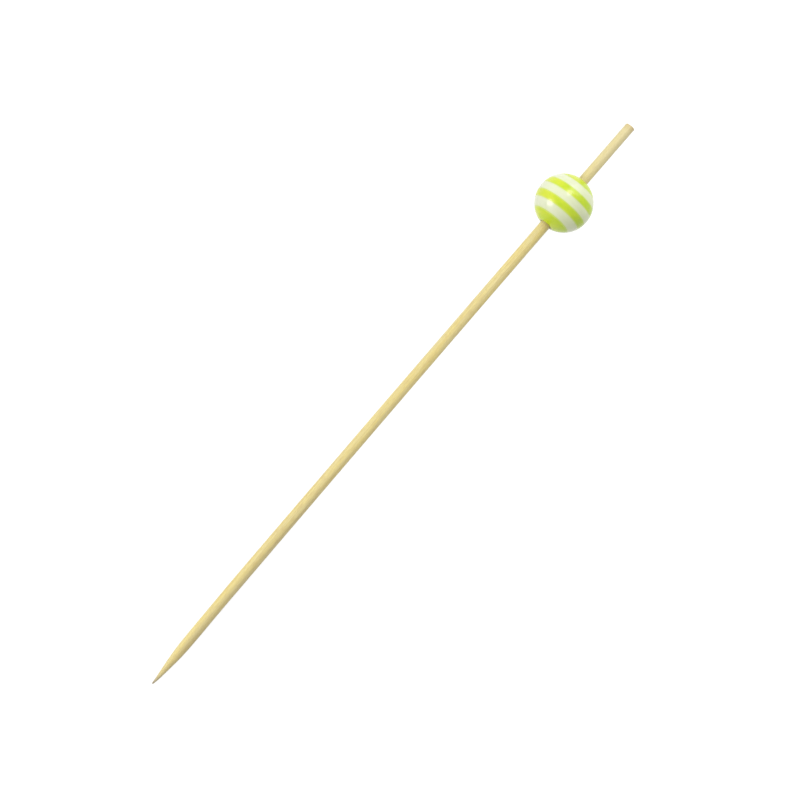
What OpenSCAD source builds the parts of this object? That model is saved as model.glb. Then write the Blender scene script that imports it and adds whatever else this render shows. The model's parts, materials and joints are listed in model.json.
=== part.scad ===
// Bamboo skewer with a striped resin bead near its cut end, lying on a flat surface.
// Sizes are in millimetres and +Z is up. +X runs from the point towards the cut end.
// The origin is on the surface, under the middle of the skewer's length.

/* [Stick] */
// Length of the stick from its point to its cut end
stick_length = 150; // [100:1:250]
// Diameter of the straight stick between the point and the bead
shank_diameter = 2.3; // [1.8:0.05:3.5]
// Diameter of the thinner short end past the bead
grip_diameter = 2.15; // [1.6:0.05:3.4]
// Length of the sharpened point
point_length = 14.5; // [6:0.5:25]
// Diameter left at the very tip
tip_diameter = 0.3; // [0.1:0.05:0.6]
// Width of the worn edge around the cut end
cut_edge = 0.12; // [0.05:0.01:0.3]

/* [Bead] */
// Diameter of the round bead
bead_diameter = 12.2; // [10:0.1:16]
// Distance from the middle of the bead to the stick's cut end
bead_to_end = 21.4; // [12:0.1:40]
// Gap for the glue between the stick and the wall of the bead's hole
glue_gap = 0.05; // [0.02:0.01:0.2]
// Width of the bevel at each mouth of the hole
mouth_bevel = 0.25; // [0.1:0.05:0.6]

/* [Layers] */
// Thickness of each resin layer between the two end caps
layer_thickness = 1.68; // [1.2:0.02:2]
// Number of layers between the caps, odd so that both caps have the same colour
inner_layers = 5; // [1:2:7]
// Distance of the middle layer from the middle of the bead, towards the point
layer_shift = 0.12; // [-0.5:0.02:0.5]
// Angle by which the layers are off square to the stick
layer_tilt = 1.6; // [-8:0.2:8]

/* [Hidden] */
$fn = 96;

shank_r = shank_diameter / 2;
grip_r = grip_diameter / 2;
tip_r = tip_diameter / 2;
bead_r = bead_diameter / 2;
// The stick's own frame has its origin at the middle of the bead and +X towards the cut end
tip_to_bead = stick_length - bead_to_end;

// The point's outline is one arc that runs smoothly into the straight stick
point_rise = shank_r - tip_r;
arc_r = (pow(point_length, 2) + pow(point_rise, 2)) / (2 * point_rise);
// The arc's centre lies across the stick's axis, level with the end of the point
arc_across = arc_r - shank_r;
arc_to_bead = tip_to_bead - point_length;
point_steps = 14;

// The skewer lies on its bead and its point: the surface touches the bead and the point's arc
rest_tilt = acos((arc_r - bead_r) / norm([arc_to_bead, arc_across]))
    - atan2(arc_to_bead, arc_across);
// The lowest and highest X of the tilted stick, measured from the middle of the bead
tip_reach = -tip_to_bead * cos(rest_tilt) - tip_r * sin(rest_tilt);
end_reach = bead_to_end * cos(rest_tilt) + (grip_r - cut_edge) * sin(rest_tilt);

hole_r = max(shank_r, grip_r) + glue_gap;
mouth_at = sqrt(pow(bead_r, 2) - pow(hole_r, 2));
// The cutters and slabs reach this far past the bead's surface
overcut = 1;

// Radius of the point at a distance from the tip
function point_radius(from_tip) =
    sqrt(pow(arc_r, 2) - pow(point_length - from_tip, 2)) - arc_across;

// Where a layer starts, along the layers' own axis. Layer 0 is the cap on the point's side.
function layer_start(layer) = (layer - 1 - inner_layers / 2) * layer_thickness - layer_shift;

// Lays the stick's own frame down as the skewer comes to rest
module at_rest() {
    translate([-(tip_reach + end_reach) / 2, 0, bead_r])
        rotate([0, -rest_tilt, 0])
            children();
}

// Turns what stands along Z to lie along the stick
module along_stick() {
    rotate([0, 90, 0])
        children();
}

// Sharpened point, straight shank, a slight narrowing inside the bead and the cut end
module stick_outline() {
    point_outline = [
        for (step = [0 : point_steps])
            let (from_tip = point_length * step / point_steps)
                [point_radius(from_tip), from_tip - tip_to_bead]
    ];
    polygon(concat(
        [[0, -tip_to_bead]],
        point_outline,
        [
            [shank_r, -bead_r],
            [grip_r, bead_r],
            [grip_r, bead_to_end - cut_edge],
            [grip_r - cut_edge, bead_to_end],
            [0, bead_to_end]
        ]
    ));
}

// The drilled ball before it is told apart into layers, with its hole along Z
module drilled_ball() {
    difference() {
        sphere(r = bead_r);
        cylinder(r = hole_r, h = bead_diameter + 2 * overcut, center = true);
        for (side = [0, 180])
            rotate([side, 0, 0])
                translate([0, 0, mouth_at - mouth_bevel])
                    cylinder(
                        r1 = hole_r,
                        r2 = hole_r + mouth_bevel + overcut,
                        h = mouth_bevel + overcut
                    );
    }
}

// One flat slice of the ball, with the caps reaching past its surface
module layer_slice(layer) {
    first = layer == 0;
    last = layer == inner_layers + 1;
    from = first ? -bead_r - overcut : layer_start(layer);
    to = last ? bead_r + overcut : layer_start(layer + 1);
    intersection() {
        drilled_ball();
        rotate([-layer_tilt, 0, 0])
            translate([0, 0, from])
                cylinder(r = bead_r + overcut, h = to - from);
    }
}

// Every second layer, counted from the cap on the point's side
module layers_from(first) {
    for (layer = [first : 2 : inner_layers + 1])
        layer_slice(layer);
}

module bamboo_stick() {
    color([0.90, 0.82, 0.58])
        at_rest()
            along_stick()
                rotate_extrude()
                    stick_outline();
}

module bead_green_layers() {
    color([0.76, 0.87, 0.18])
        at_rest()
            along_stick()
                layers_from(0);
}

module bead_white_layers() {
    color([0.94, 0.94, 0.90])
        at_rest()
            along_stick()
                layers_from(1);
}

bamboo_stick();
bead_green_layers();
bead_white_layers();
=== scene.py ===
"""A bamboo skewer with a striped resin bead, lying on a white table and seen from above."""
import json
import math

import bpy
import numpy as np
from mathutils import Matrix, Vector


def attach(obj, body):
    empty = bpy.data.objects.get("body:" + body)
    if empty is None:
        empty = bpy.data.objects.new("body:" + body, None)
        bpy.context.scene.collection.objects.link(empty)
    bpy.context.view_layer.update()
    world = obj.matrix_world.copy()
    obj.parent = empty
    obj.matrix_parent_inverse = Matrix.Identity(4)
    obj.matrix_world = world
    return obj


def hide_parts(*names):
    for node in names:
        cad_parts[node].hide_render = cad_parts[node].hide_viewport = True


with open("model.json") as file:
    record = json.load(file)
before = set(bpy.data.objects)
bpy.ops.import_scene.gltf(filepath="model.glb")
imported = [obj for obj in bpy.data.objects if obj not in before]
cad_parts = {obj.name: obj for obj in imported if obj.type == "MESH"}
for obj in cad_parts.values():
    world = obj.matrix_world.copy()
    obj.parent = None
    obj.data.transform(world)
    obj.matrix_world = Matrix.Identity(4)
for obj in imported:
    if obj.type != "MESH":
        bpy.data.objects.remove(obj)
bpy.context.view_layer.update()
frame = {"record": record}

MM = 0.001
PURE_WHITE = (1, 1, 1, 1)

# Camera, from the perspective of the photo. It stands where it sees the middle of the bead at this pixel.
PHOTO_SIDE_PX = 800
BEAD_CENTRE_PX = (563.9, 203.1)
# Depth of the bead's middle in the view, in metres
CAMERA_TO_BEAD = 0.4575
# In degrees
CAMERA_AZIMUTH = -49.63
CAMERA_ELEVATION = 77.88
LENS_MM = 100
SENSOR_MM = 36
CLIP_START = 0.01

# Light. The even light from all round has this strength, but the camera sees it at a strength of 1.
AMBIENT = 0.425
# A lamp's direction is right, up and towards the camera. Lengths are in metres and powers in watts. Two
# small lamps make the glints on the bead, and three wide ones light its upper left, its far end and its
# near end.
SOFTBOXES = {
    "softbox_top": {"direction": (0.30, 0.595, 0.745), "size": 0.26, "power": 1.06},
    "softbox_left": {"direction": (-0.86, -0.01, 0.51), "size": 0.28, "power": 1.15},
    "softbox_side": {"direction": (-0.66, 0.70, 0.27), "size": 0.5, "power": 0.2},
    "softbox_far": {"direction": (0.66, 0.68, 0.32), "size": 0.5, "power": 1.1},
    "softbox_near": {"direction": (-0.72, -0.60, 0.35), "size": 0.5, "power": 0.4},
}
SOFTBOX_DISTANCE = 0.6
# The table's side, its grey, and the share of glow that is mixed into it where it is seen
FLOOR_SIDE = 6.0
FLOOR_COLOUR = 0.5
FLOOR_GLOW_SHARE = 0.4

# Stick, in metres
POINT_LENGTH = 14.5 * MM
TIP_RADIUS = 0.15 * MM
# Width of the cut end's worn edge, and how far out of square its sides are
CUT_EDGE = 0.12 * MM
CUT_SLANT = 0.05 * MM
# The stick loses this share of its width on the way from the tip to the bead
THICKER_AT_POINT = 0.03
# The whole stick is bowed to the left, its first stretch from the tip leans right, and the tip turns back
BOW = 0.22 * MM
LEAN = 0.2 * MM
LEAN_LENGTH = 24 * MM
TIP_TURN = 0.1 * MM
TIP_TURN_LENGTH = 1.4 * MM
# Behind the point the radius is less by up to 4/27 of this
WAIST = 0.25 * MM
WAIST_LENGTH = 25 * MM
# Seen from above, the point has a shoulder on each side
SHOULDER = 0.07 * MM
SHOULDER_PLACE = 8.2 * MM
SHOULDER_LENGTH = 3 * MM

# Grooves between the fibres. Half their length, half their width in radians and their share of the greatest
# depth are drawn from these ranges.
FIBRE_SEED = 7
FIBRE_COUNT = 150
FIBRE_DEPTH = 0.012 * MM
FIBRE_HALF_LENGTH_MM = (8, 30)
FIBRE_HALF_ANGLE = (0.04, 0.1)
FIBRE_DEPTH_SHARE = (0.4, 1)

# Rings of the stick's mesh. Those of the tip, the worn edge and the cut face are shares of the tip's
# radius, of the edge's width and of the face's radius.
SIDES = 96
POINT_RING_STEP = 0.25 * MM
SHANK_RING_STEP = 0.5 * MM
TIP_RING_SHARES = (0.01, 0.06, 0.15, 0.3, 0.5, 0.75)
EDGE_RING_SHARES = (0.35, 0.75, 1.0)
FACE_RING_SHARES = (0.8, 0.6, 0.4, 0.2)

# Bead, in metres: the gap between the stick and the hole, and the rounded edge of the hole's mouths
GLUE_GAP = 0.05 * MM
MOUTH_RADIUS = 0.28 * MM
# The layers between the two caps are flat slices, shifted towards the point and tilted to the left
LAYER_THICKNESS = 1.68 * MM
LAYER_SHIFT = 0.12 * MM
LAYER_TILT = math.radians(1.6)
INNER_LAYERS = 5

# Rings of the bead's mesh. Those of a cap's wall are shares of the way from its mouth to its flat face.
BEAD_SIDES = 192
LAYER_RINGS = 13
LAYER_WALL_RINGS = 5
CAP_RINGS = 16
CAP_WALL_SHARES = (0.33, 0.67, 1.0)
MOUTH_RINGS = 9

# In every mesh, an edge looks sharp from this angle on
SHARP_ANGLE = math.radians(35)

# Most of what a noise gives lies in this range
NOISE_RANGE = (0.3, 0.7)

# Bamboo. Each layer is a noise with a grain in millimetres along, left of and over the stick. Its colour
# sets in between two levels of the noise and gets as strong as its share.
BAMBOO_LAYERS = {
    "pale": {"grain": (9, 0.7, 0.7), "detail": 3, "levels": (0.35, 0.65), "share": 1},
    "fibre": {"grain": (14, 0.16, 0.16), "detail": 2, "levels": (0.35, 0.72), "share": 0.5},
    "bundle": {"grain": (22, 0.09, 0.09), "detail": 1, "levels": (0.58, 0.74), "share": 0.5},
    "mottle": {"grain": (1.6, 0.6, 0.6), "detail": 3, "levels": (0.50, 0.72), "share": 0.5},
}
BAMBOO_COLOURS = {
    "straw": (0.98, 0.80, 0.26, 1),
    "pale": (0.95, 0.82, 0.38, 1),
    "fibre": (0.72, 0.56, 0.21, 1),
    "bundle": (0.46, 0.33, 0.14, 1),
    "mottle": (0.74, 0.55, 0.22, 1),
    "handle": (0.88, 0.78, 0.44, 1),
    # The colour of the painted shade on the stick's right side towards the point
    "painted_right_shade": (0.60, 0.49, 0.24, 1),
    "tip": (0.40, 0.35, 0.28, 1),
    "end": (0.62, 0.44, 0.20, 1),
}
# The handle's paler colour sets in before the middle of the bead and is strongest at the cut end
HANDLE_BEFORE_BEAD_MM = 10
HANDLE_SHARE = 0.7
# Painted shade on the stick's right side sets in across the stick, in radii, and fades out along it, from
# the tip
RIGHT_SHADE_ACROSS = (-0.3, 0.7)
RIGHT_SHADE_FADE_MM = (13, 65)
RIGHT_SHADE_SHARE = 0.45
# The grey of the tip fades to a trace along the stick, and the brown of the cut end sets in over its last
# stretch
TIP_FADE_MM = (0.2, 3.0)
TIP_SHARES = (0.8, 0.1)
END_FADE_MM = 1.6
END_SHARE = 0.5
BAMBOO_ROUGHNESS = (0.36, 0.56)
BAMBOO_GLOSS = {"Specular IOR Level": 0.5, "Sheen Weight": 0.3, "Sheen Roughness": 0.4}
BAMBOO_BUMP = {"Strength": 0.35, "Distance": 0.03 * MM}

# Cut end: brown fibre bundles in pale pith. A bundle fades out between two distances from its middle.
CUT_END_GRAIN = (8, 1, 1)
CUT_END_CELLS = {"Scale": 4.2, "Randomness": 0.75}
CUT_END_BUNDLE_EDGE = (0.16, 0.34)
CUT_END_BUNDLE = (0.40, 0.26, 0.11, 1)
CUT_END_PITH = (0.80, 0.66, 0.36, 1)
CUT_END_PITH_DARK = (0.70, 0.56, 0.29, 1)
CUT_END_PITH_SCALE = 9
CUT_END_ROUGHNESS = 0.85
CUT_END_BUMP = {"Strength": 0.5, "Distance": 0.03 * MM}

# Resin. Each colour mixes into a deeper copy between two levels of a cloudy noise. Painted shade
# makes the noise grow to the right by this much for each radius of the bead, so each layer is deeper
# on its shaded right and paler on its lit left.
LIME = (0.765, 0.865, 0.036, 1)
LIME_CLOUD_AND_PAINTED_SHADE = (0.565, 0.78, 0.010, 1)
WHITE = (0.88, 0.925, 0.66, 1)
WHITE_CLOUD_AND_PAINTED_SHADE = (0.825, 0.895, 0.56, 1)
PAINTED_SHADE_PER_RADIUS = 0.3
CLOUD_AND_SHADE_RANGE = (0.25, 0.75)
CLOUDS = {"grain": (1.5, 2.5, 2.5), "detail": 3}
WEAR = {"grain": (0.5, 0.5, 0.5), "detail": 1}
# The colours bleed into each other at a bond, and painted shade darkens the mouths of the hole round the
# stick
BOND_TINT = (0.78, 0.88, 0.38, 1)
BOND_SHARE = 0.55
BOND_REACH_MM = 0.3
MOUTH_PAINTED_SHADE = (0.36, 0.25, 0.08, 1)
MOUTH_SHADE_SHARE = 0.75
MOUTH_SHADE_REACH_MM = 0.6
RESIN_ROUGHNESS = (0.15, 0.22)
RESIN_IOR = 1.5
RESIN_BUMP = {"Strength": 0.05, "Distance": 0.01 * MM}


def mount(name):
    """A round mount's middle, unit axis, radius and length, in metres."""
    found = next(m for m in frame["record"]["mounts"] if m["name"] == name)
    radius = found["dims"]["r_mm"] * MM
    length = found["dims"]["length_mm"] * MM
    return Vector(found["pos_m"]), Vector(found["axis"]).normalized(), radius, length


# The stick's own frame: along it towards the cut end, to its left seen from above, and over it
shank_middle, _, SHANK_R, shank_length = mount("shank")
grip_middle, along, GRIP_R, grip_length = mount("grip_end")
left = Vector((0, 0, 1)).cross(along).normalized()
over = along.cross(left)

# The two mounts meet the ball's surface, so they give the bead's place and size
shank_start = shank_middle - along * shank_length / 2
shank_end = shank_middle + along * shank_length / 2
grip_start = grip_middle - along * grip_length / 2
BEAD_CENTRE = (shank_end + grip_start) / 2
BEAD_R = (grip_start - shank_end).length / 2
HOLE_R = SHANK_R + GLUE_GAP
TIP = shank_start - along * POINT_LENGTH
TIP_TO_SHANK_END = (shank_end - TIP).dot(along)
TIP_TO_BEAD = TIP_TO_SHANK_END + BEAD_R
TIP_TO_END = TIP_TO_BEAD + BEAD_R + grip_length + CUT_EDGE
TIP_TO_EDGE = TIP_TO_END - CUT_EDGE


def in_row_frame(points, origin):
    """Points given along, left of and over the stick from an origin, turned into the row frame."""
    axes = np.array([along, left, over])
    return np.asarray(points) @ axes + np.array(origin)


def ring_angles(sides):
    """The angles of a ring's points, in radians."""
    return np.linspace(0, 2 * math.pi, sides, endpoint=False)


def tube_faces(count, sides, start, closed):
    """Faces of a tube of rings, whose first point has the number start. An open tube ends at two middle
    points, which come after its rings."""
    faces = []
    for ring in range(count if closed else count - 1):
        here = start + ring * sides
        there = start + (ring + 1) % count * sides
        for side in range(sides):
            after = (side + 1) % sides
            faces.append((here + side, here + after, there + after, there + side))
    if not closed:
        last = start + (count - 1) * sides
        first_middle = start + count * sides
        last_middle = first_middle + 1
        for side in range(sides):
            after = (side + 1) % sides
            faces.append((start + after, start + side, first_middle))
            faces.append((last + side, last + after, last_middle))
    return faces


def mesh_object(name, tubes, closed, materials):
    """A piece made of tubes of rings. Each closes on itself, or else with a middle point at each end."""
    points, faces = [], []
    for rings in tubes:
        count, sides = rings.shape[:2]
        faces += tube_faces(count, sides, len(points), closed)
        points += rings.reshape(-1, 3).tolist()
        if not closed:
            points += [rings[0].mean(axis=0).tolist(), rings[-1].mean(axis=0).tolist()]
    mesh = bpy.data.meshes.new(name)
    mesh.from_pydata(points, [], faces)
    mesh.polygons.foreach_set("use_smooth", [True] * len(mesh.polygons))
    mesh.set_sharp_from_angle(angle=SHARP_ANGLE)
    for material in materials:
        mesh.materials.append(material)
    piece = bpy.data.objects.new(name, mesh)
    bpy.context.scene.collection.objects.link(piece)
    return piece


class Nodes:
    """Short calls that build the node tree of a material or of the world."""

    def __init__(self, owner):
        owner.use_nodes = True
        self.tree = owner.node_tree
        self.tree.nodes.clear()

    def add(self, kind, inputs=None, **settings):
        """A node with its settings and its inputs, each of which is a value or another node's output."""
        node = self.tree.nodes.new(kind)
        for setting, value in settings.items():
            setattr(node, setting, value)
        for socket, value in (inputs or {}).items():
            if isinstance(value, bpy.types.NodeSocket):
                self.tree.links.new(value, node.inputs[socket])
            else:
                node.inputs[socket].default_value = value
        return node

    def number(self, operation, *values):
        """The result of an operation on numbers."""
        return self.add("ShaderNodeMath", dict(enumerate(values)), operation=operation).outputs["Value"]

    def vector(self, operation, *values):
        """The result of an operation on vectors. A dot product and a length are numbers."""
        node = self.add("ShaderNodeVectorMath", dict(enumerate(values)), operation=operation)
        return node.outputs["Value" if operation in ("DOT_PRODUCT", "LENGTH") else "Vector"]

    def remap(self, value, low, high, to_low, to_high):
        """A value taken from one range to another, and held at its ends."""
        ranges = {"From Min": low, "From Max": high, "To Min": to_low, "To Max": to_high}
        return self.add("ShaderNodeMapRange", {"Value": value, **ranges}).outputs["Result"]

    def noise(self, place, scale=1.0, detail=2.0):
        inputs = {"Vector": place, "Scale": scale, "Detail": detail}
        return self.add("ShaderNodeTexNoise", inputs).outputs["Fac"]

    def mix(self, share, one, two):
        """A mix of two colours, by the numbers that the Mix node's colour sockets have."""
        return self.add("ShaderNodeMix", {0: share, 6: one, 7: two}, data_type="RGBA").outputs[2]

    def bump(self, height, amount):
        return self.add("ShaderNodeBump", {"Height": height, **amount}).outputs["Normal"]

    def surface(self, inputs):
        shader = self.add("ShaderNodeBsdfPrincipled", inputs)
        self.add("ShaderNodeOutputMaterial", {"Surface": shader.outputs["BSDF"]})

    def seen(self):
        """1 for what is seen straight on, mirrored or through something, and 0 for what only lights."""
        path = self.add("ShaderNodeLightPath").outputs
        straight_or_mirrored = self.number("MAXIMUM", path["Is Camera Ray"], path["Is Glossy Ray"])
        return self.number("MAXIMUM", straight_or_mirrored, path["Is Transmission Ray"])

    def place(self):
        """The place on the piece, in the row frame."""
        return self.add("ShaderNodeTexCoord").outputs["Object"]

    def from_bead(self):
        """The place on the piece, from the middle of the bead."""
        return self.vector("SUBTRACT", self.place(), BEAD_CENTRE)

    def stick_place(self, grain):
        """The place along, left of and over the stick, each divided by a grain in millimetres."""
        tilt = math.atan2(along.z, along.x)
        level = self.add("ShaderNodeMapping", {"Vector": self.place(), "Rotation": (0, tilt, 0)})
        scale = tuple(1 / MM / size for size in grain)
        return self.vector("MULTIPLY", level.outputs["Vector"], scale)

    def stick_noise(self, layer):
        """A noise that follows the stick, with a layer's grain and detail."""
        return self.noise(self.stick_place(layer["grain"]), detail=layer["detail"])

    def along_stick(self):
        """Distance from the tip along the stick, in millimetres."""
        far = self.vector("DOT_PRODUCT", self.place(), along / MM)
        return self.number("SUBTRACT", far, TIP.dot(along) / MM)

    def from_axis(self):
        """Distance from the stick's axis, in millimetres."""
        turned = self.vector("CROSS_PRODUCT", self.from_bead(), along)
        return self.number("MULTIPLY", self.vector("LENGTH", turned), 1 / MM)

    def to_right(self, reach):
        """Distance right of the stick's axis, as a share of a reach."""
        return self.vector("DOT_PRODUCT", self.from_bead(), -left / reach)

    def from_bond(self):
        """Distance from the nearest bond between two layers of the bead, in millimetres."""
        across = (along * math.cos(LAYER_TILT) + left * math.sin(LAYER_TILT)) / LAYER_THICKNESS
        height = self.vector("DOT_PRODUCT", self.from_bead(), across)
        shifted = self.number("ADD", height, LAYER_SHIFT / LAYER_THICKNESS)
        from_middle = self.number("ABSOLUTE", shifted)
        # Past the last bond, the caps have no further ones
        within_caps = self.number("MINIMUM", from_middle, (INNER_LAYERS + 1) / 2)
        # Half a layer on, the bonds lie at whole numbers
        bonds_at_whole = self.number("ADD", within_caps, 0.5)
        layers_away = self.number("PINGPONG", bonds_at_whole, 0.5)
        return self.number("MULTIPLY", layers_away, LAYER_THICKNESS / MM)


def bamboo_material():
    """Pale straw bamboo with fibres along its length. It is paler towards its handle end, and darker at its
    cut end and at its tip. Painted shade darkens its right side towards the point."""
    material = bpy.data.materials.new("bamboo")
    n = Nodes(material)
    noises = {}
    colour = BAMBOO_COLOURS["straw"]
    for name, layer in BAMBOO_LAYERS.items():
        noises[name] = n.stick_noise(layer)
        share = n.remap(noises[name], *layer["levels"], 0, layer["share"])
        colour = n.mix(share, colour, BAMBOO_COLOURS[name])

    far = n.along_stick()
    bead_mm = TIP_TO_BEAD / MM
    end_mm = TIP_TO_END / MM
    # Painted shade on the stick's right side, strongest towards the point
    painted_shade_on_right = n.remap(n.to_right(SHANK_R), *RIGHT_SHADE_ACROSS, 0, RIGHT_SHADE_SHARE)
    stretches = {
        "handle": n.remap(far, bead_mm - HANDLE_BEFORE_BEAD_MM, end_mm, 0, HANDLE_SHARE),
        "painted_right_shade": n.number("MULTIPLY", painted_shade_on_right, n.remap(far, *RIGHT_SHADE_FADE_MM, 1, 0)),
        "tip": n.remap(far, *TIP_FADE_MM, *TIP_SHARES),
        "end": n.remap(far, end_mm - END_FADE_MM, end_mm, 0, END_SHARE),
    }
    for name, share in stretches.items():
        colour = n.mix(share, colour, BAMBOO_COLOURS[name])

    n.surface({
        "Base Color": colour,
        "Roughness": n.remap(noises["fibre"], *NOISE_RANGE, *BAMBOO_ROUGHNESS),
        "Normal": n.bump(n.number("ADD", noises["fibre"], noises["bundle"]), BAMBOO_BUMP),
        **BAMBOO_GLOSS,
    })
    return material


def cut_end_material():
    """End grain: brown fibre bundles in pale pith."""
    material = bpy.data.materials.new("bamboo_cut_end")
    n = Nodes(material)
    place = n.stick_place(CUT_END_GRAIN)
    cells = n.add("ShaderNodeTexVoronoi", {"Vector": place, **CUT_END_CELLS})
    bundle = n.remap(cells.outputs["Distance"], *CUT_END_BUNDLE_EDGE, 1, 0)
    pith = n.mix(n.noise(place, scale=CUT_END_PITH_SCALE), CUT_END_PITH, CUT_END_PITH_DARK)
    n.surface({
        "Base Color": n.mix(bundle, pith, CUT_END_BUNDLE),
        "Roughness": CUT_END_ROUGHNESS,
        "Normal": n.bump(bundle, CUT_END_BUMP),
    })
    return material


def resin_material(name, colour, cloud_and_shade_colour):
    """Polished resin: faintly cloudy, with painted shade that deepens its colour towards the right,
    tinted at each bond, and with painted shade at the hole's mouths."""
    material = bpy.data.materials.new(name)
    n = Nodes(material)
    # Painted shade: the mix grows towards the right, so the colour deepens where the shade falls
    cloud_and_shade = n.number("MULTIPLY_ADD", n.to_right(BEAD_R), PAINTED_SHADE_PER_RADIUS, n.stick_noise(CLOUDS))
    clouded_and_shaded = n.mix(n.remap(cloud_and_shade, *CLOUD_AND_SHADE_RANGE, 0, 1), colour, cloud_and_shade_colour)
    bled = n.mix(n.remap(n.from_bond(), 0, BOND_REACH_MM, BOND_SHARE, 0), clouded_and_shaded, BOND_TINT)
    hole_mm = HOLE_R / MM
    # Painted shade in the gap where the stick enters each mouth of the hole
    mouth_shade = n.remap(n.from_axis(), hole_mm, hole_mm + MOUTH_SHADE_REACH_MM, MOUTH_SHADE_SHARE, 0)
    wear = n.stick_noise(WEAR)
    n.surface({
        "Base Color": n.mix(mouth_shade, bled, MOUTH_PAINTED_SHADE),
        "Roughness": n.remap(wear, *NOISE_RANGE, *RESIN_ROUGHNESS),
        "IOR": RESIN_IOR,
        "Normal": n.bump(wear, RESIN_BUMP),
    })
    return material


def stick_radius(from_tip):
    """Radius of the stick at distances from its tip."""
    rise = SHANK_R - TIP_RADIUS
    arc = (POINT_LENGTH**2 + rise**2) / (2 * rise)
    back = np.clip(POINT_LENGTH - from_tip, 0, None)
    point = np.sqrt(arc**2 - back**2) - (arc - SHANK_R)
    round_off = TIP_RADIUS * (1 - np.sqrt(1 - np.clip(1 - from_tip / TIP_RADIUS, 0, 1) ** 2))
    share = np.clip(from_tip / TIP_TO_SHANK_END, 0, 1)
    uneven = 1 + THICKER_AT_POINT * (0.5 - share)
    behind = np.clip(from_tip / WAIST_LENGTH, 0, 1)
    waist = WAIST * behind**2 * (1 - behind)
    past = np.clip((from_tip - TIP_TO_SHANK_END) / (2 * BEAD_R), 0, 1)
    narrower = (SHANK_R * (1 - THICKER_AT_POINT / 2) - GRIP_R) * past
    return point * uneven - round_off - waist - narrower


def shoulder(from_tip):
    """How much the point is wider on each side, seen from above, than its arc."""
    return SHOULDER * np.exp(-(((from_tip - SHOULDER_PLACE) / SHOULDER_LENGTH) ** 2))


def bend(share):
    """Height of the bow at a share of the stick's length."""
    return 4 * BOW * share * (1 - share)


def stick_bow(from_tip):
    """How far the stick's middle lies left of its straight line. In the bead it keeps to the line."""
    bow = bend(from_tip / TIP_TO_END) - bend(TIP_TO_BEAD / TIP_TO_END)
    lean = LEAN * np.clip(1 - from_tip / LEAN_LENGTH, 0, 1)
    turn = TIP_TURN * np.clip(1 - from_tip / TIP_TURN_LENGTH, 0, 1) ** 2
    return bow - lean + turn


def fibre_depth(from_tip, angle):
    """Grooves between the fibres, as a lowering of the stick's surface."""
    draw = np.random.default_rng(FIBRE_SEED)
    depth = np.zeros(np.broadcast(from_tip, angle).shape)
    for _ in range(FIBRE_COUNT):
        middle = draw.uniform(0, TIP_TO_END)
        half_length = draw.uniform(*FIBRE_HALF_LENGTH_MM) * MM
        around = draw.uniform(0, 2 * math.pi)
        half_angle = draw.uniform(*FIBRE_HALF_ANGLE)
        deepest = draw.uniform(*FIBRE_DEPTH_SHARE) * FIBRE_DEPTH
        off = np.abs((angle - around + math.pi) % (2 * math.pi) - math.pi)
        across = np.clip(1 - off / half_angle, 0, 1)
        lengthwise = np.clip(1 - ((from_tip - middle) / half_length) ** 2, 0, 1)
        depth = np.maximum(depth, deepest * across * lengthwise)
    return depth


def stick_rings():
    """Rings of the point and the shank, as far as the worn edge of the cut end."""
    tip = TIP_RADIUS * np.array(TIP_RING_SHARES)
    point = np.arange(TIP_RADIUS, POINT_LENGTH, POINT_RING_STEP)
    shank_rings = int((TIP_TO_EDGE - POINT_LENGTH) / SHANK_RING_STEP)
    shank = np.linspace(POINT_LENGTH, TIP_TO_EDGE, shank_rings)
    from_tip = np.concatenate([tip, point, shank])[:, None]
    angle = ring_angles(SIDES)[None, :]
    radius = stick_radius(from_tip) - fibre_depth(from_tip, angle)
    side = stick_bow(from_tip) + (radius + shoulder(from_tip)) * np.cos(angle)
    lift = radius * np.sin(angle)
    slant = np.where(from_tip == TIP_TO_EDGE, -CUT_SLANT * np.cos(angle), 0)
    return np.stack([np.broadcast_to(from_tip, side.shape) + slant, side, lift], axis=-1)


def cut_end_rings():
    """Rings over the worn edge and inwards on the cut face."""
    places = []
    for inward in EDGE_RING_SHARES:
        drop = 1 - math.sqrt(1 - inward**2)
        places.append((GRIP_R - CUT_EDGE * drop, TIP_TO_EDGE + CUT_EDGE * inward))
    face_radius = places[-1][0]
    places += [(face_radius * share, TIP_TO_END) for share in FACE_RING_SHARES]
    middle = stick_bow(TIP_TO_EDGE)
    angle = ring_angles(SIDES)
    rings = []
    for radius, reach in places:
        side = radius * np.cos(angle)
        lift = radius * np.sin(angle)
        slanted = reach - CUT_SLANT * side / GRIP_R
        rings.append(np.stack([slanted, middle + side, lift], axis=-1))
    return np.array(rings)


def build_stick():
    """The bamboo stick: point, shank and cut end in one closed mesh."""
    body = stick_rings()
    rings = np.concatenate([body, cut_end_rings()])
    materials = [bamboo_material(), cut_end_material()]
    stick = mesh_object("stick", [in_row_frame(rings, TIP)], closed=False, materials=materials)
    cut_start = (len(body) + len(EDGE_RING_SHARES) - 1) * SIDES
    tip_point = len(rings) * SIDES
    for polygon in stick.data.polygons:
        on_cut = min(polygon.vertices) >= cut_start and tip_point not in polygon.vertices
        polygon.material_index = 1 if on_cut else 0
    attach(stick, "root")
    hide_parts("bamboo_stick")


def layer_ring(height, radius, shift=0.0):
    """A ring at a height along the layers' own axis, shifted left of it. It is given in the stick's axes,
    from the bead's middle."""
    angle = ring_angles(BEAD_SIDES)
    x = np.full_like(angle, height)
    y = radius * np.cos(angle) + shift
    z = radius * np.sin(angle)
    cosine, sine = math.cos(LAYER_TILT), math.sin(LAYER_TILT)
    return np.stack([cosine * x - sine * y, sine * x + cosine * y, z], axis=-1)


def ball_ring(height):
    """A ring on the ball's surface, at a height along the layers' own axis."""
    return layer_ring(height, math.sqrt(BEAD_R**2 - height**2))


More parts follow.
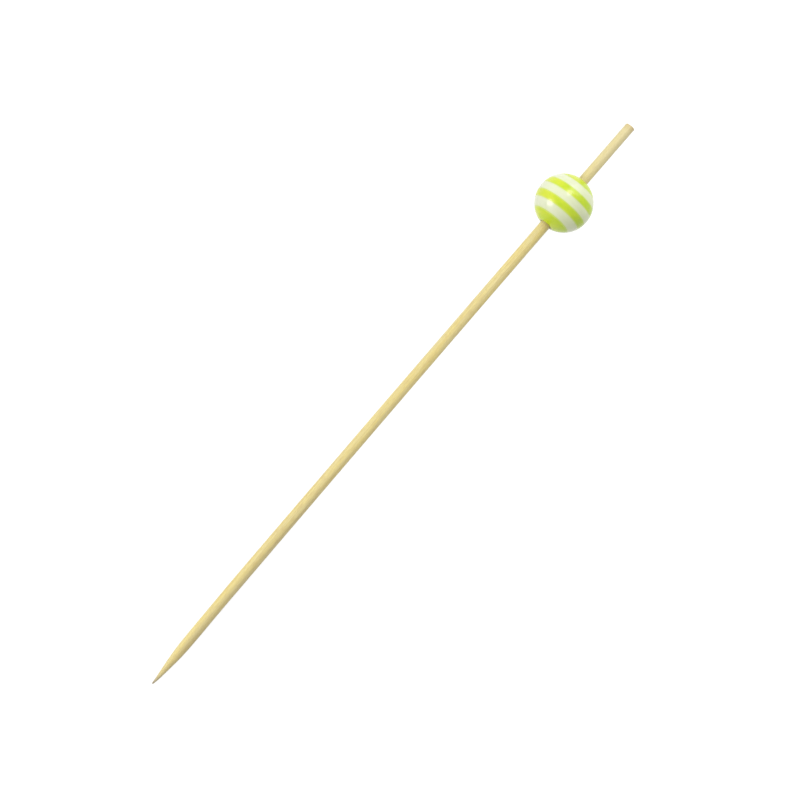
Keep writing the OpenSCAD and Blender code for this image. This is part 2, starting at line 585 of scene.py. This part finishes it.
def wall_ring(height):
    """A ring on the hole's wall, at a height along the layers' own axis."""
    return layer_ring(height, HOLE_R, -height * math.tan(LAYER_TILT))


def mouth_rings(side):
    """Rings from the ball's surface over the rounded edge of the hole's mouth into its wall."""
    centre_r = HOLE_R + MOUTH_RADIUS
    centre_x = math.sqrt((BEAD_R - MOUTH_RADIUS) ** 2 - centre_r**2)
    start = math.atan2(centre_x, centre_r)
    angle = ring_angles(BEAD_SIDES)
    rings = []
    for share in np.linspace(0, 1, MOUTH_RINGS):
        turn = start + (math.pi - start) * share
        r = centre_r + MOUTH_RADIUS * math.cos(turn)
        x = side * (centre_x + MOUTH_RADIUS * math.sin(turn))
        rings.append(np.stack([np.full_like(angle, x), r * np.cos(angle), r * np.sin(angle)], axis=-1))
    return rings


def layer_rings(low, high):
    """The closed loop of rings round an inner layer, between two heights."""
    outer = [ball_ring(height) for height in np.linspace(low, high, LAYER_RINGS)]
    wall = [wall_ring(height) for height in np.linspace(high, low, LAYER_WALL_RINGS)]
    return np.array(outer + wall)


def cap_rings(height, side):
    """The closed loop of rings round the cap that starts at a height. Its side is -1 at the point's end of
    the bead and 1 at the other."""
    mouth = mouth_rings(side)
    edge = ball_ring(height)
    outer = []
    for share in np.linspace(0, 1, CAP_RINGS, endpoint=False):
        between = edge * (1 - share) + mouth[0] * share
        outer.append(between * BEAD_R / np.linalg.norm(between, axis=-1, keepdims=True))
    wall_end = wall_ring(height)
    wall = [mouth[-1] * (1 - share) + wall_end * share for share in CAP_WALL_SHARES]
    rings = np.array(outer + mouth + wall)
    return rings[::-1] if side < 0 else rings


def build_layers(name, first_layer, node, material):
    """Every second layer of the bead as one piece. Layer 0 is the cap at the point's end."""
    tubes = []
    for layer in range(first_layer, INNER_LAYERS + 2, 2):
        low = (layer - 1 - INNER_LAYERS / 2) * LAYER_THICKNESS - LAYER_SHIFT
        high = low + LAYER_THICKNESS
        if layer == 0:
            rings = cap_rings(high, -1)
        elif layer == INNER_LAYERS + 1:
            rings = cap_rings(low, 1)
        else:
            rings = layer_rings(low, high)
        tubes.append(in_row_frame(rings, BEAD_CENTRE))
    piece = mesh_object(name, tubes, closed=True, materials=[material])
    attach(piece, "root")
    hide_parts(node)


def camera_axes():
    """Right, up and towards the camera, in the row frame."""
    azimuth, elevation = math.radians(CAMERA_AZIMUTH), math.radians(CAMERA_ELEVATION)
    towards = Vector((
        math.sin(azimuth) * math.cos(elevation),
        -math.cos(azimuth) * math.cos(elevation),
        math.sin(elevation),
    ))
    right = Vector((math.cos(azimuth), math.sin(azimuth), 0))
    return right, towards.cross(right), towards


def add_camera():
    right, up, towards = camera_axes()
    half_view = SENSOR_MM / 2 / LENS_MM
    across = (BEAD_CENTRE_PX[0] / PHOTO_SIDE_PX * 2 - 1) * half_view * CAMERA_TO_BEAD
    above = (1 - BEAD_CENTRE_PX[1] / PHOTO_SIDE_PX * 2) * half_view * CAMERA_TO_BEAD
    data = bpy.data.cameras.new("camera")
    data.lens = LENS_MM
    data.sensor_width = SENSOR_MM
    data.clip_start = CLIP_START
    camera = bpy.data.objects.new("camera", data)
    bpy.context.scene.collection.objects.link(camera)
    camera.location = BEAD_CENTRE + towards * CAMERA_TO_BEAD - right * across - up * above
    camera.rotation_euler = Matrix((right, up, towards)).transposed().to_euler()
    bpy.context.scene.camera = camera


def add_softboxes():
    """Round lamps at one distance from the bead, all turned to it."""
    axes = camera_axes()
    for name, box in SOFTBOXES.items():
        parts = (axis * part for axis, part in zip(axes, box["direction"]))
        direction = sum(parts, Vector()).normalized()
        data = bpy.data.lights.new(name, "AREA")
        data.shape = "DISK"
        data.size = box["size"]
        data.energy = box["power"]
        lamp = bpy.data.objects.new(name, data)
        bpy.context.scene.collection.objects.link(lamp)
        lamp.location = BEAD_CENTRE + direction * SOFTBOX_DISTANCE
        lamp.rotation_euler = direction.to_track_quat("Z", "Y").to_euler()


def add_world():
    """Even light from all round, seen as pure white by the camera and in reflections."""
    world = bpy.data.worlds.new("studio")
    n = Nodes(world)
    strength = n.remap(n.seen(), 0, 1, AMBIENT, 1)
    background = n.add("ShaderNodeBackground", {"Color": PURE_WHITE, "Strength": strength})
    n.add("ShaderNodeOutputWorld", {"Surface": background.outputs["Background"]})
    bpy.context.scene.world = world


def add_floor():
    """A table that keeps the skewer's shadow. Its glow makes it white where only the even light falls."""
    material = bpy.data.materials.new("white_table")
    n = Nodes(material)
    diffuse = n.add("ShaderNodeBsdfDiffuse", {"Color": (FLOOR_COLOUR, FLOOR_COLOUR, FLOOR_COLOUR, 1)})
    missing = 1 - (1 - FLOOR_GLOW_SHARE) * FLOOR_COLOUR * AMBIENT
    glow = n.add("ShaderNodeEmission", {"Color": PURE_WHITE, "Strength": missing / FLOOR_GLOW_SHARE})
    share = n.number("MULTIPLY", n.seen(), FLOOR_GLOW_SHARE)
    shaders = {1: diffuse.outputs["BSDF"], 2: glow.outputs["Emission"]}
    mixed = n.add("ShaderNodeMixShader", {0: share, **shaders})
    n.add("ShaderNodeOutputMaterial", {"Surface": mixed.outputs["Shader"]})

    half = FLOOR_SIDE / 2
    corners = [(-half, -half, 0), (half, -half, 0), (half, half, 0), (-half, half, 0)]
    mesh = bpy.data.meshes.new("table")
    mesh.from_pydata(corners, [], [(0, 1, 2, 3)])
    mesh.materials.append(material)
    floor = bpy.data.objects.new("table", mesh)
    bpy.context.scene.collection.objects.link(floor)


def main():
    bpy.context.scene.view_settings.view_transform = "Standard"
    add_camera()
    add_world()
    add_softboxes()
    add_floor()
    build_stick()
    lime_resin = resin_material("lime_resin", LIME, LIME_CLOUD_AND_PAINTED_SHADE)
    white_resin = resin_material("white_resin", WHITE, WHITE_CLOUD_AND_PAINTED_SHADE)
    build_layers("bead_lime", 0, "bead_green_layers", lime_resin)
    build_layers("bead_white", 1, "bead_white_layers", white_resin)


main()
